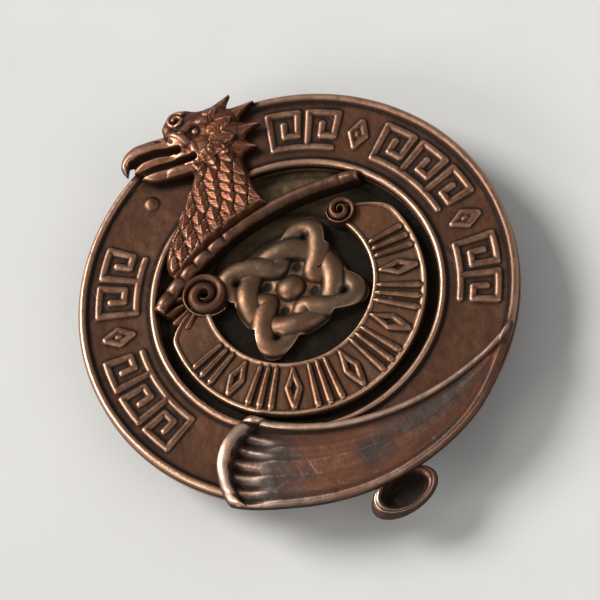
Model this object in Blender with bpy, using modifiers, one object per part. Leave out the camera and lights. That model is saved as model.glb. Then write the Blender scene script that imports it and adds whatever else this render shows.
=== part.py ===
"""Layered bronze cap badge with a brooch pin and a roll-over safety catch on its back.

The face looks along +Z and the badge's top is towards +Y. The origin is the centre of the plate's
back face, so everything in front of the cloth is above Z = 0 and the pin fittings are below it.
"""

import math

import bmesh
import bpy
from mathutils import Matrix, Vector

MM = 0.001

# Driving sizes
RING_R = 27.5 * MM  # outer radius of the strap ring; front outlines are fractions of it
GAP = 0.08 * MM  # air between two pieces that touch
PLATE_R = 0.94 * RING_R
PLATE_T = 0.8 * MM

# Heights above the plate's back face
BASE_Z = PLATE_T + GAP  # underside of the pieces that lie on the plate
BAND_Z = 2.2 * MM  # flat band of the ring
RIM_Z = 2.7 * MM  # the ring's two raised rims
TOP_LAYER_Z = RIM_Z + GAP  # underside of the pieces that lap over the ring
RIBBON_Z = 2.4 * MM
VOLUTE_Z = 3.0 * MM
KNOT_Z = 2.5 * MM
BAR_Z = 3.4 * MM
EAGLE_Z = 5.2 * MM
TIP_RIM_Z = 3.5 * MM
TIP_FLOOR_Z = 1.8 * MM

# Ring
RING_INNER = 0.64
RIM_INNER = 0.675
RIM_OUTER = 0.965

# Scroll: a horn along the ring, from its wide mouth to its point
SCROLL_START, SCROLL_END = 212.0, 314.0
SCROLL_INNER_START, SCROLL_INNER_END = 0.60, 0.95
SCROLL_OUTER_MID, SCROLL_OUTER_FLARE = 0.957, 0.035  # its outer edge bows in at the middle
SCROLL_SIDE = 0.35 * MM  # upright edge under the dome
SCROLL_DOME_START, SCROLL_DOME_END = 1.9 * MM, 0.45 * MM

# The knot and the inner ribbon's inside share a centre above the badge's; the ribbon's outside doesn't
INNER_Y = 0.065
RIBBON_OUTER_Y = 0.015
RIBBON_OUTER, RIBBON_INNER = 0.595, 0.375
RIBBON_START, RIBBON_END = 166.0, 380.0
VOLUTE_LEFT = (-0.355, 0.232, 0.095)
VOLUTE_RIGHT = (0.385, 0.225, 0.065)
KNOT_R = 0.30

# Arched bar
BAR_CENTRE = (0.0, -0.80)
BAR_R = 1.24
BAR_W = 0.06
BAR_HALF_SPAN = 0.51

# Strap tip: an oval cup on a tab
TIP_CENTRE = (-0.14, -1.070)
TIP_HALF = (0.165, 0.100)
TIP_WALL = 0.04

# Rivets: shank and head, then the places of each group as fractions of RING_R and the shank's top
RIVET_R, RIVET_HEAD_R, RIVET_HEAD_T = 0.5 * MM, 1.05 * MM, 0.45 * MM
RIVETS = {
    "ring_rivet": ([(0.43, 0.70), (-0.43, 0.70), (-0.79, -0.22), (0.79, -0.22)], 1.75 * MM),
    "scroll_rivet": ([(-0.56, -0.58), (0.13, -0.885)], 3.5 * MM),
    "tip_rivet": ([(-0.14, -0.86)], 1.9 * MM),
    "ribbon_rivet": ([(-0.42, -0.09), (0.42, -0.09)], 1.9 * MM),
    "knot_rivet": ([(-0.203, 0.065), (0.203, 0.065)], 1.9 * MM),
    "bar_rivet": ([(-0.43, 0.363), (0.43, 0.363)], 2.7 * MM),
    "eagle_rivet": ([(0.06, 0.83), (-0.06, 0.545)], 4.0 * MM),
}

# Pin, hinge and catch
PIN_Y = 9.0 * MM
PIN_Z = -3.2 * MM
HINGE_X = -20.0 * MM
CATCH_X = 20.0 * MM
NEEDLE_R = 0.45 * MM
NEEDLE_END = 43.0 * MM  # point of the needle, from the hinge axis
NEEDLE_TAPER = 5.0 * MM
EYE_R, EYE_HALF_T, EYE_HOLE_R = 1.15 * MM, 0.8 * MM, 0.47 * MM
AXLE_R, AXLE_HEAD_R, AXLE_HEAD_T = 0.4 * MM, 0.75 * MM, 0.35 * MM
EAR_R, EAR_INNER, EAR_OUTER = 1.6 * MM, 0.9 * MM, 1.5 * MM
BASE_T = 0.6 * MM
CHEEK_R, CHEEK_BORE_R, CHEEK_HALF_SLOT = 2.1 * MM, 1.4 * MM, 0.72 * MM
CHEEK_INNER, CHEEK_OUTER = 0.8 * MM, 1.4 * MM
ROLLER_BORE_R, ROLLER_R, DRUM_R = 0.75 * MM, 1.32 * MM, 1.9 * MM
ROLLER_HALF_SLOT = 0.62 * MM
LEVER_REACH, LEVER_HALF_W, LEVER_T = 3.3 * MM, 0.55 * MM, 0.5 * MM
LEVER_ANGLE = -60.0  # from straight down, towards +Y

ROUND_STEPS = 96
SMALL_STEPS = 20


def clear_scene():
    for obj in list(bpy.data.objects):
        bpy.data.objects.remove(obj, do_unlink=True)


def collection(name):
    made = bpy.data.collections.new(name)
    bpy.context.scene.collection.children.link(made)
    return made


def metal(name, colour, roughness, metallic=1.0):
    mat = bpy.data.materials.new(name)
    mat.use_nodes = True
    shader = mat.node_tree.nodes["Principled BSDF"]
    shader.inputs["Base Color"].default_value = (*colour, 1.0)
    shader.inputs["Roughness"].default_value = roughness
    shader.inputs["Metallic"].default_value = metallic
    return mat


def place(name, mesh, group, mat=None, location=(0, 0, 0)):
    obj = bpy.data.objects.new(name, mesh)
    obj.location = location
    group.objects.link(obj)
    if mat:
        mesh.materials.append(mat)
    return obj


def as_cutter(obj):
    obj.hide_render = True
    obj.display_type = "WIRE"
    return obj


def arc(cx, cy, radius, start, end, steps):
    """Points along a circle, from start to end in degrees, both ends included."""
    angles = (math.radians(start + (end - start) * i / steps) for i in range(steps + 1))
    return [(cx + radius * math.cos(a), cy + radius * math.sin(a)) for a in angles]


def oval(cx, cy, a, b, steps):
    angles = (math.tau * i / steps for i in range(steps))
    return [(cx + a * math.cos(t), cy + b * math.sin(t)) for t in angles]


def scaled(points):
    return [(x * RING_R, y * RING_R) for x, y in points]


def flat_mesh(name, outlines, low, high, smooth=False, sharp=()):
    """A flat outline with holes, as thick as from low to high. smooth rounds all but its sharp points."""
    curve = bpy.data.curves.new(name + "_outline", "CURVE")
    curve.dimensions = "2D"
    curve.fill_mode = "BOTH"
    curve.extrude = (high - low) / 2
    curve.resolution_u = 4
    for points in outlines:
        spline = curve.splines.new("BEZIER" if smooth else "POLY")
        if smooth:
            spline.bezier_points.add(len(points) - 1)
            for i, (knot, (x, y)) in enumerate(zip(spline.bezier_points, points)):
                knot.co = (x, y, 0)
                kind = "VECTOR" if i in sharp else "AUTO"
                knot.handle_left_type = knot.handle_right_type = kind
        else:
            spline.points.add(len(points) - 1)
            for knot, (x, y) in zip(spline.points, points):
                knot.co = (x, y, 0, 1)
        spline.use_cyclic_u = True
    holder = bpy.data.objects.new(name + "_outline", curve)
    bpy.context.scene.collection.objects.link(holder)
    seen = holder.evaluated_get(bpy.context.evaluated_depsgraph_get())
    mesh = bpy.data.meshes.new_from_object(seen)
    mesh.name = name
    shape = bmesh.new()
    shape.from_mesh(mesh)
    bmesh.ops.remove_doubles(shape, verts=shape.verts, dist=1e-7)
    bmesh.ops.recalc_face_normals(shape, faces=shape.faces)
    bmesh.ops.translate(shape, verts=shape.verts, vec=(0, 0, (low + high) / 2))
    shape.to_mesh(mesh)
    shape.free()
    bpy.data.objects.remove(holder)
    bpy.data.curves.remove(curve)
    return mesh


def turned_object(name, profile, group, mat=None, steps=SMALL_STEPS, closed=False):
    """A profile of (radius, height), outer side first and downwards, turned about Z."""
    mesh = bpy.data.meshes.new(name)
    count = len(profile)
    edges = [(i, i + 1) for i in range(count - 1)]
    if closed:
        edges.append((count - 1, 0))
    mesh.from_pydata([(r, 0, z) for r, z in profile], edges, [])
    obj = place(name, mesh, group, mat)
    screw = obj.modifiers.new("turn", "SCREW")
    screw.steps = screw.render_steps = steps
    screw.use_merge_vertices = True
    screw.merge_threshold = 1e-6
    return obj


def rod_mesh(name, radius, low, high, axis="Z", steps=SMALL_STEPS):
    """A round bar along an axis through the origin, from low to high."""
    shape = bmesh.new()
    bmesh.ops.create_cone(
        shape, cap_ends=True, segments=steps, radius1=radius, radius2=radius, depth=high - low
    )
    bmesh.ops.translate(shape, verts=shape.verts, vec=(0, 0, (low + high) / 2))
    turn = {"X": Matrix.Rotation(math.pi / 2, 3, "Y"), "Y": Matrix.Rotation(-math.pi / 2, 3, "X")}
    if axis in turn:
        bmesh.ops.transform(shape, matrix=turn[axis].to_4x4(), verts=shape.verts)
    mesh = bpy.data.meshes.new(name)
    shape.to_mesh(mesh)
    shape.free()
    return mesh


def box_mesh(name, low, high):
    shape = bmesh.new()
    bmesh.ops.create_cube(shape, size=1)
    size = Vector(high) - Vector(low)
    bmesh.ops.scale(shape, vec=size, verts=shape.verts)
    bmesh.ops.translate(shape, vec=(Vector(low) + Vector(high)) / 2, verts=shape.verts)
    mesh = bpy.data.meshes.new(name)
    shape.to_mesh(mesh)
    shape.free()
    return mesh


def boolean(obj, other, operation):
    mod = obj.modifiers.new(f"{operation.lower()}_{other.name}", "BOOLEAN")
    mod.operation = operation
    mod.object = other
    mod.solver = "EXACT"


def bevel(obj, width, segments=2):
    mod = obj.modifiers.new("edge", "BEVEL")
    mod.width = width
    mod.segments = segments
    mod.limit_method = "ANGLE"
    mod.angle_limit = math.radians(50)


def shade_round(obj):
    obj.data.shade_smooth()
    obj.data.set_sharp_from_angle(angle=math.radians(35))


# Rivets, and the one cutter that drills every rivet hole


def make_rivets(parts, cutters, mat):
    drill = bmesh.new()
    for group_name, (places, top) in RIVETS.items():
        for number, (x, y) in enumerate(places, 1):
            name = f"{group_name}_{number}" if len(places) > 1 else group_name
            under = -GAP
            low = under - RIVET_HEAD_T
            profile = [
                (0, top),
                (RIVET_R, top),
                (RIVET_R, under),
                (RIVET_HEAD_R, under),
                (0.86 * RIVET_HEAD_R, low + 0.35 * RIVET_HEAD_T),
                (0.5 * RIVET_HEAD_R, low),
                (0, low),
            ]
            rivet = turned_object(name, profile, parts, mat, steps=14)
            rivet.location = (x * RING_R, y * RING_R, 0)
            hole = rod_mesh("hole", RIVET_R + GAP, -MM, top + GAP, steps=14)
            hole.transform(Matrix.Translation((x * RING_R, y * RING_R, 0)))
            drill.from_mesh(hole)
            bpy.data.meshes.remove(hole)
    mesh = bpy.data.meshes.new("rivet_holes")
    drill.to_mesh(mesh)
    drill.free()
    return as_cutter(place("rivet_holes", mesh, cutters))


# Front pieces


def make_back_plate(parts, mat, holes):
    """A disc whose back keeps a clear round face at its middle."""
    mesh = rod_mesh("back_plate", PLATE_R, 0, PLATE_T, steps=ROUND_STEPS)
    shape = bmesh.new()
    shape.from_mesh(mesh)
    back = [f for f in shape.faces if f.normal.z < -0.9]
    bmesh.ops.inset_region(shape, faces=back, thickness=PLATE_R - 5.2 * MM)
    shape.to_mesh(mesh)
    shape.free()
    obj = place("back_plate", mesh, parts, mat)
    bevel(obj, 0.15 * MM, 1)
    boolean(obj, holes, "DIFFERENCE")
    return obj


def make_ring(parts, cutters, mat, holes):
    edge = 0.012
    profile = [
        (RIM_OUTER + edge, RIM_Z),
        (1.0 - edge, RIM_Z - edge * RING_R * 0.5),
        (1.0, BAND_Z),
        (1.0, BASE_Z),
        (RING_INNER, BASE_Z),
        (RING_INNER, BAND_Z),
        (RING_INNER + edge, RIM_Z),
        (RIM_INNER - edge * 0.5, RIM_Z),
        (RIM_INNER, BAND_Z),
        (RIM_OUTER, BAND_Z),
    ]
    ring = turned_object(
        "strap_ring",
        [(r * RING_R, z) for r, z in profile],
        parts,
        mat,
        steps=ROUND_STEPS,
        closed=True,
    )
    pocket_outline = scaled(oval(*TIP_CENTRE, TIP_HALF[0] + 0.006, TIP_HALF[1] + 0.006, 40))
    pocket = flat_mesh("tip_pocket", [pocket_outline], -MM, 2 * TIP_RIM_Z)
    boolean(ring, as_cutter(place("tip_pocket", pocket, cutters)), "DIFFERENCE")
    tab = tip_tab_corners(GAP)
    slot = box_mesh("tab_slot", (*tab[0], -MM), (*tab[1], 2 * TIP_RIM_Z))
    boolean(ring, as_cutter(place("tab_slot", slot, cutters)), "DIFFERENCE")
    boolean(ring, holes, "DIFFERENCE")
    return ring


def tip_tab_corners(grow):
    low = (-0.21 * RING_R - grow, -1.0 * RING_R)
    high = (-0.07 * RING_R + grow, -0.79 * RING_R + grow)
    return low, high


def make_tip(parts, cutters, mat, holes):
    """An oval cup, its open mouth down and to the right, with a tab that the scroll covers."""
    cup = flat_mesh("strap_tip", [scaled(oval(*TIP_CENTRE, *TIP_HALF, 40))], BASE_Z, TIP_RIM_Z)
    tip = place("strap_tip", cup, parts, mat)
    bevel(tip, 0.25 * MM, 2)
    hollow_at = (TIP_CENTRE[0] + 0.022, TIP_CENTRE[1] - 0.016)
    hollow_half = (TIP_HALF[0] - TIP_WALL, TIP_HALF[1] - TIP_WALL)
    hollow = flat_mesh(
        "tip_hollow", [scaled(oval(*hollow_at, *hollow_half, 28))], TIP_FLOOR_Z, 2 * TIP_RIM_Z
    )
    boolean(tip, as_cutter(place("tip_hollow", hollow, cutters)), "DIFFERENCE")
    low, high = tip_tab_corners(0)
    tab = box_mesh("tip_tab", (*low, BASE_Z), (*high, BAND_Z))
    boolean(tip, as_cutter(place("tip_tab", tab, cutters)), "UNION")
    boolean(tip, holes, "DIFFERENCE")
    return tip


def make_scroll(parts, mat, holes):
    """A loft: a domed section that narrows from the mouth to the point, flat underneath."""
    stations, across = 30, 9
    shape = bmesh.new()
    rows = []
    for s in range(stations + 1):
        t = s / stations
        angle = math.radians(SCROLL_START + (SCROLL_END - SCROLL_START) * t)
        inner = SCROLL_INNER_START + (SCROLL_INNER_END - SCROLL_INNER_START) * t
        rise = SCROLL_DOME_START + (SCROLL_DOME_END - SCROLL_DOME_START) * t**0.8
        outer = SCROLL_OUTER_MID + SCROLL_OUTER_FLARE * (2 * t - 1) ** 2
        section = [(outer, TOP_LAYER_Z)]
        for i in range(across + 1):
            u = i / across
            radius = outer + (inner - outer) * u
            height = TOP_LAYER_Z + SCROLL_SIDE + rise * math.sin(math.pi * u) ** 0.7
            section.append((radius, height))
        section.append((inner, TOP_LAYER_Z))
        direction = Vector((math.cos(angle), math.sin(angle), 0)) * RING_R
        rows.append([shape.verts.new(direction * r + Vector((0, 0, z))) for r, z in section])
    for row, after in zip(rows, rows[1:]):
        for i in range(len(row)):
            j = (i + 1) % len(row)
            shape.faces.new((row[i], after[i], after[j], row[j]))
    shape.faces.new(rows[0])
    shape.faces.new(list(reversed(rows[-1])))
    bmesh.ops.recalc_face_normals(shape, faces=shape.faces)
    mesh = bpy.data.meshes.new("strap_scroll")
    shape.to_mesh(mesh)
    shape.free()
    scroll = place("strap_scroll", mesh, parts, mat)
    boolean(scroll, holes, "DIFFERENCE")
    return scroll


def make_ribbon(parts, cutters, mat, holes):
    """A U-shaped band whose two ends curl into volutes under the bar."""
    outer = arc(0, RIBBON_OUTER_Y, RIBBON_OUTER, RIBBON_START, RIBBON_END, 56)
    inner = arc(0, INNER_Y, RIBBON_INNER, RIBBON_END, RIBBON_START, 44)
    ribbon = place(
        "motto_ribbon",
        flat_mesh("motto_ribbon", [scaled(outer + inner)], BASE_Z, RIBBON_Z),
        parts,
        mat,
    )
    bevel(ribbon, 0.2 * MM, 1)
    for name, (x, y, radius) in (("left_volute", VOLUTE_LEFT), ("right_volute", VOLUTE_RIGHT)):
        curl = rod_mesh(name, radius * RING_R, BASE_Z + 0.3 * MM, VOLUTE_Z, steps=24)
        curl.transform(Matrix.Translation((x * RING_R, y * RING_R, 0)))
        boolean(ribbon, as_cutter(place(name, curl, cutters)), "UNION")
    boolean(ribbon, holes, "DIFFERENCE")
    return ribbon


def make_knot(parts, mat, holes):
    """A four-lobed knot, pierced by a small hole at each crossing."""
    count = 72
    outline = []
    for i in range(count):
        angle = math.tau * i / count
        radius = KNOT_R * (0.88 - 0.12 * math.cos(4 * angle))
        outline.append((radius * math.cos(angle), INNER_Y + radius * math.sin(angle)))
    eyes = [
        arc(0.105 * math.cos(a), INNER_Y + 0.105 * math.sin(a), 0.022, 0, 330, 11)
        for a in (math.radians(45 + 90 * i) for i in range(4))
    ]
    mesh = flat_mesh("centre_knot", [scaled(o) for o in [outline, *eyes]], BASE_Z, KNOT_Z)
    knot = place("centre_knot", mesh, parts, mat)
    bevel(knot, 0.15 * MM, 1)
    boolean(knot, holes, "DIFFERENCE")
    return knot


def make_bar(parts, mat, holes):
    half = math.degrees(math.asin(BAR_HALF_SPAN / BAR_R))
    over = arc(*BAR_CENTRE, BAR_R + BAR_W / 2, 90 - half, 90 + half, 28)
    under = arc(*BAR_CENTRE, BAR_R - BAR_W / 2, 90 + half, 90 - half, 28)
    mesh = flat_mesh("perch_bar", [scaled(over + under)], BASE_Z, BAR_Z)
    bar = place("perch_bar", mesh, parts, mat)
    bevel(bar, 0.4 * MM, 3)
    boolean(bar, holes, "DIFFERENCE")
    return bar


def make_eagle(parts, cutters, mat, holes):
    """Head and neck in profile, beak open to the left, with a foot inside the ring."""
    outline = [
        (-0.29, 0.99),
        (-0.24, 1.055),
        (-0.12, 1.055),
        (-0.02, 1.03),
        (0.03, 1.09),
        (0.13, 1.075),
        (0.2, 0.985),
        (0.29, 0.965),
        (0.24, 0.895),
        (0.31, 0.84),
        (0.215, 0.795),
        (0.165, 0.647),
        (0.15, 0.485),
        (-0.12, 0.475),
        (-0.385, 0.42),
        (-0.31, 0.541),
        (-0.16, 0.647),
        (-0.04, 0.755),
        (-0.1, 0.815),
        (-0.225, 0.895),
        (-0.11, 0.89),
        (0.0, 0.91),
        (-0.12, 0.975),
    ]
    corners = (0, 7, 9, 12, 14, 19, 21)
    mesh = flat_mesh(
        "eagle", [scaled(outline)], TOP_LAYER_Z, EAGLE_Z, smooth=True, sharp=corners
    )
    eagle = place("eagle", mesh, parts, mat)
    bevel(eagle, 0.3 * MM, 2)
    foot = [(-0.32, 0.455), (-0.10, 0.495), (0.12, 0.505), (0.12, 0.60), (-0.10, 0.61), (-0.24, 0.56)]
    foot_mesh = flat_mesh("eagle_foot", [scaled(foot)], BASE_Z, 0.5 * (TOP_LAYER_Z + EAGLE_Z))
    boolean(eagle, as_cutter(place("eagle_foot", foot_mesh, cutters)), "UNION")
    boolean(eagle, holes, "DIFFERENCE")
    return eagle


# Pin fittings on the back


def stand_up(mesh, axis):
    """Turns a flat mesh so that its thickness lies along X or Y and its outline's Y along Z."""
    rows = {"X": ((0, 0, 1), (1, 0, 0), (0, 1, 0)), "Y": ((1, 0, 0), (0, 0, -1), (0, 1, 0))}
    mesh.transform(Matrix(rows[axis]).to_4x4())
    return mesh


def make_hinge(parts, cutters, mat):
    """Two ears on one base, drilled along Y for the axle."""
    at = (HINGE_X, PIN_Y, PIN_Z)
    top = -GAP - PIN_Z  # the plate's side of the base, from the hinge axis
    flare = 1.6 * EAR_R
    outline = arc(0, 0, EAR_R, 160, 380, 20) + [(flare, top - BASE_T), (flare, top)]
    outline += [(-flare, top), (-flare, top - BASE_T)]
    hole = oval(0, 0, EYE_HOLE_R, EYE_HOLE_R, SMALL_STEPS)
    ears = stand_up(flat_mesh("hinge_bracket", [outline, hole], -EAR_OUTER, EAR_OUTER), "Y")
    hinge = place("hinge_bracket", ears, parts, mat, at)
    far = 2 * flare
    space = box_mesh("hinge_space", (-far, -EAR_INNER, -far), (far, EAR_INNER, top - BASE_T))
    boolean(hinge, as_cutter(place("hinge_space", space, cutters, location=at)), "DIFFERENCE")
    return hinge


def make_axle(parts, mat):
    inner = EAR_OUTER + GAP
    outer = inner + AXLE_HEAD_T
    profile = [
        (0, outer),
        (0.6 * AXLE_HEAD_R, outer),
        (AXLE_HEAD_R, inner + 0.3 * AXLE_HEAD_T),
        (AXLE_HEAD_R, inner),
        (AXLE_R, inner),
        (AXLE_R, -inner),
        (AXLE_HEAD_R, -inner),
        (AXLE_HEAD_R, -inner - 0.3 * AXLE_HEAD_T),
        (0.6 * AXLE_HEAD_R, -outer),
        (0, -outer),
    ]
    axle = turned_object("hinge_rivet", profile, parts, mat)
    axle.location = (HINGE_X, PIN_Y, PIN_Z)
    axle.rotation_euler = (math.pi / 2, 0, 0)
    return axle


def make_pin(parts, cutters, mat):
    """A needle along +X from an eye that turns on the hinge axle."""
    at = (HINGE_X, PIN_Y, PIN_Z)
    profile = [
        (0, NEEDLE_END),
        (0.25 * NEEDLE_R, NEEDLE_END - 0.3 * MM),
        (0.75 * NEEDLE_R, NEEDLE_END - 0.5 * NEEDLE_TAPER),
        (NEEDLE_R, NEEDLE_END - NEEDLE_TAPER),
        (NEEDLE_R, 0.8 * EYE_R),
        (0, 0.8 * EYE_R),
    ]
    needle = turned_object("needle", profile, cutters)
    needle.location = at
    needle.rotation_euler = (0, math.pi / 2, 0)
    pin = place(
        "brooch_pin", rod_mesh("brooch_pin", EYE_R, -EYE_HALF_T, EYE_HALF_T, "Y"), parts, mat, at
    )
    boolean(pin, as_cutter(needle), "UNION")
    hole = rod_mesh("eye_hole", EYE_HOLE_R, -2 * EYE_HALF_T, 2 * EYE_HALF_T, "Y")
    boolean(pin, as_cutter(place("eye_hole", hole, cutters, location=at)), "DIFFERENCE")
    return pin


def make_catch(parts, cutters, mat):
    """Two C-shaped cheeks, open downwards, on one base."""
    at = (CATCH_X, PIN_Y, PIN_Z)
    top = -GAP - PIN_Z
    flare = 1.3 * CHEEK_R
    lip = math.degrees(math.asin(CHEEK_HALF_SLOT / CHEEK_R))
    mouth = math.degrees(math.asin(CHEEK_HALF_SLOT / CHEEK_BORE_R))
    outline = arc(0, 0, CHEEK_R, lip - 90, 20, 10) + [(flare, top - BASE_T), (flare, top)]
    outline += [(-flare, top), (-flare, top - BASE_T)] + arc(0, 0, CHEEK_R, 160, 270 - lip, 10)
    outline += arc(0, 0, CHEEK_BORE_R, 270 - mouth, mouth - 90, 24)
    cheeks = flat_mesh("catch_bracket", [outline], -CHEEK_OUTER, CHEEK_OUTER)
    catch = place("catch_bracket", stand_up(cheeks, "X"), parts, mat, at)
    far = 2 * flare
    space = box_mesh("catch_space", (-CHEEK_INNER, -far, -far), (CHEEK_INNER, far, top - BASE_T))
    boolean(catch, as_cutter(place("catch_space", space, cutters, location=at)), "DIFFERENCE")
    return catch


def make_roller(parts, cutters, mat):
    """A slotted spool that turns in the cheeks, with a lever on its drum."""
    at = Vector((CATCH_X, PIN_Y, PIN_Z))
    drum = CHEEK_INNER - GAP
    profile = [
        (ROLLER_R, CHEEK_OUTER),
        (ROLLER_R, drum),
        (DRUM_R, drum),
        (DRUM_R, -drum),
        (ROLLER_R, -drum),
        (ROLLER_R, -CHEEK_OUTER),
        (ROLLER_BORE_R, -CHEEK_OUTER),
        (ROLLER_BORE_R, CHEEK_OUTER),
    ]
    roller = turned_object("catch_roller", profile, parts, mat, steps=28, closed=True)
    roller.location = at
    roller.rotation_euler = (0, math.pi / 2, 0)
    lever = box_mesh(
        "roller_lever",
        (-LEVER_HALF_W, -LEVER_T / 2, -LEVER_REACH),
        (LEVER_HALF_W, LEVER_T / 2, -0.75 * DRUM_R),
    )
    lever.transform(Matrix.Rotation(math.radians(LEVER_ANGLE), 4, "X"))
    boolean(roller, as_cutter(place("roller_lever", lever, cutters, location=at)), "UNION")
    far = 2 * DRUM_R
    slot = box_mesh("roller_slot", (-far, -ROLLER_HALF_SLOT, -far), (far, ROLLER_HALF_SLOT, 0))
    boolean(roller, as_cutter(place("roller_slot", slot, cutters, location=at)), "DIFFERENCE")
    return roller


def main():
    clear_scene()
    parts = collection("cap_badge")
    cutters = collection("cutters")
    bronze = metal("dark_bronze", (0.105, 0.062, 0.048), 0.42)
    plate_metal = metal("plate_bronze", (0.055, 0.036, 0.022), 0.55)
    ribbon_metal = metal("ribbon_bronze", (0.10, 0.052, 0.032), 0.45)
    knot_metal = metal("knot_bronze", (0.075, 0.045, 0.032), 0.48)
    copper = metal("eagle_copper", (0.23, 0.11, 0.07), 0.38)
    rivet_metal = metal("rivet_copper", (0.40, 0.20, 0.12), 0.40)
    brass = metal("fitting_brass", (0.55, 0.38, 0.17), 0.35)
    steel = metal("pin_steel", (0.55, 0.54, 0.52), 0.25)

    holes = make_rivets(parts, cutters, rivet_metal)
    made = [
        make_back_plate(parts, plate_metal, holes),
        make_ring(parts, cutters, bronze, holes),
        make_scroll(parts, bronze, holes),
        make_tip(parts, cutters, bronze, holes),
        make_ribbon(parts, cutters, ribbon_metal, holes),
        make_knot(parts, knot_metal, holes),
        make_bar(parts, bronze, holes),
        make_eagle(parts, cutters, copper, holes),
        make_hinge(parts, cutters, brass),
        make_axle(parts, brass),
        make_pin(parts, cutters, steel),
        make_catch(parts, cutters, brass),
        make_roller(parts, cutters, brass),
    ]
    for obj in made:
        shade_round(obj)


main()
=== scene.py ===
"""Looks of the cap badge: die-struck relief, patina, pin fittings, floor, light and camera."""

import math

import bmesh
import bpy
import numpy as np
from mathutils import Matrix, Vector


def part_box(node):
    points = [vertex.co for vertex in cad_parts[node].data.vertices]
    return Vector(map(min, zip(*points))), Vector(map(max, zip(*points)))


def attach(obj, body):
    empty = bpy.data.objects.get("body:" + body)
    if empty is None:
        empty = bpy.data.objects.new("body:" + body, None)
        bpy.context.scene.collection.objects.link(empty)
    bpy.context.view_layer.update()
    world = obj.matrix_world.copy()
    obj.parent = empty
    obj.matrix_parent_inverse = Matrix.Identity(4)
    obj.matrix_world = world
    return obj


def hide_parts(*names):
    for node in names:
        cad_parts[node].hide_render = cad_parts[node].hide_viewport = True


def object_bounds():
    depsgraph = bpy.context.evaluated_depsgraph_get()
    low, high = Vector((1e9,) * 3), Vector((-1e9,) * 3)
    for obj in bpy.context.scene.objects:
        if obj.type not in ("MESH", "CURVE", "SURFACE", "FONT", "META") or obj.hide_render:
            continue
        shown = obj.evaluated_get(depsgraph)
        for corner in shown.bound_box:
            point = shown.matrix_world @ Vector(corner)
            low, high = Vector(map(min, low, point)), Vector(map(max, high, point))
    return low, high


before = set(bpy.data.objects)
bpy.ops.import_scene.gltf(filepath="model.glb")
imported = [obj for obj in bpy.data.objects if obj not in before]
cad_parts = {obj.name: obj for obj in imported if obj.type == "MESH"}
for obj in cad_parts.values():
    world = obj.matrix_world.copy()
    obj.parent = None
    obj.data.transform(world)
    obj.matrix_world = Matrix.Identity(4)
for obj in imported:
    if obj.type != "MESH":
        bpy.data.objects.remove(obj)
cad_box = [list(corner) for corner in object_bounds()]

MM = 0.001
TAU = math.tau

# Driving sizes and levels, all from the frame
ring_low, ring_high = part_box("strap_ring")
R = (ring_high.x - ring_low.x) / 2  # the badge's radius; outlines are fractions of it
BASE_Z, RIM_Z = ring_low.z, ring_high.z
BAND_Z = RIM_Z - 0.5 * MM
LAP_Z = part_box("strap_scroll")[0].z  # underside of what laps over the ring
plate_low, plate_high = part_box("back_plate")
FLOOR_Z = cad_box[0][2] - 0.02 * MM

# Outlines and places, as fractions of R; angles in degrees, from +X towards +Y
RING_INNER, BAND_MIDDLE = 0.64, 0.822
RIMS = ((0.980, 0.0205), (0.6585, 0.0185))  # crest and half width of the ring's outer and inner rim
STUD, STUD_R = (-0.277, 0.797), 0.034  # the dome on the ring below the beak
INNER_Y, RIBBON_INNER = 0.065, 0.372  # the inner ribbon's inside; the knot has the same centre
RIBBON_OUTER_Y, RIBBON_OUTER = 0.015, 0.595
RIBBON_START, RIBBON_END = 153, 386
VOLUTES = (((-0.332, 0.262), 0.108, 1), ((0.385, 0.226), 0.072, -1))  # centre, radius, turn
KNOT_STRETCH, HOOP_R, CORD_HALF = 1.10, 0.184, 0.050
BAR_CENTRE_Y, BAR_R, BAR_HALF_SPAN = -0.80, 1.24, 26.0  # the span in degrees
SCROLL_START, SCROLL_SPAN = 213, 101
SCROLL_DROP, HEAD_DROP = 0.025, 0.045  # towards the foot, for the high relief of these two
TIP_X, TIP_HALF, TIP_HIGH_SIDE = -0.14, (0.165, 0.100), math.radians(128)
EYE, CHEEK, CURL = (0.070, 0.982), (0.052, 0.893), (0.030, 1.092)


# Numbers on arrays


def ease(low, high, x):
    t = np.clip((x - low) / (high - low), 0, 1)
    return t * t * (3 - 2 * t)


def ridge(distance, half_width):
    """A rounded ridge of height 1: distance from its crest, both in the same unit."""
    return np.sqrt(np.clip(1 - (distance / half_width) ** 2, 0, 1))


def bump(distance, half_width):
    return np.exp(-((distance / half_width) ** 2))


def rounded(distance, width):
    """A quarter round: 0 at an edge, 1 from width inwards."""
    return np.sqrt(1 - (1 - np.clip(distance / width, 0, 1)) ** 2)


def full_turn(count):
    """Angles all the way round, down a column."""
    return (np.arange(count) * TAU / count)[:, None]


def polar(radius, degrees):
    return radius * math.cos(math.radians(degrees)), radius * math.sin(math.radians(degrees))


def value_noise(x, y, cell, seed):
    """Smooth noise from -1 to 1 with one random value to each cell."""
    table = np.random.default_rng(seed).uniform(-1, 1, (64, 64))
    gx, gy = x / cell, y / cell
    ix, iy = np.floor(gx).astype(int), np.floor(gy).astype(int)
    fx, fy = ease(0, 1, gx - ix), ease(0, 1, gy - iy)
    a, b = table[ix % 64, iy % 64], table[(ix + 1) % 64, iy % 64]
    c, d = table[ix % 64, (iy + 1) % 64], table[(ix + 1) % 64, (iy + 1) % 64]
    return (a * (1 - fx) + b * fx) * (1 - fy) + (c * (1 - fx) + d * fx) * fy


def unevenness(x, y, seed, cell=2.2 * MM):
    """The slight waviness and casting grain of struck metal, about -1 to 1."""
    total, amount = 0.0, 1.0
    for octave in range(4):
        total = total + amount * value_noise(x, y, cell / 2.1**octave, seed + octave)
        amount *= 0.55
    return total / 1.8


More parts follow.
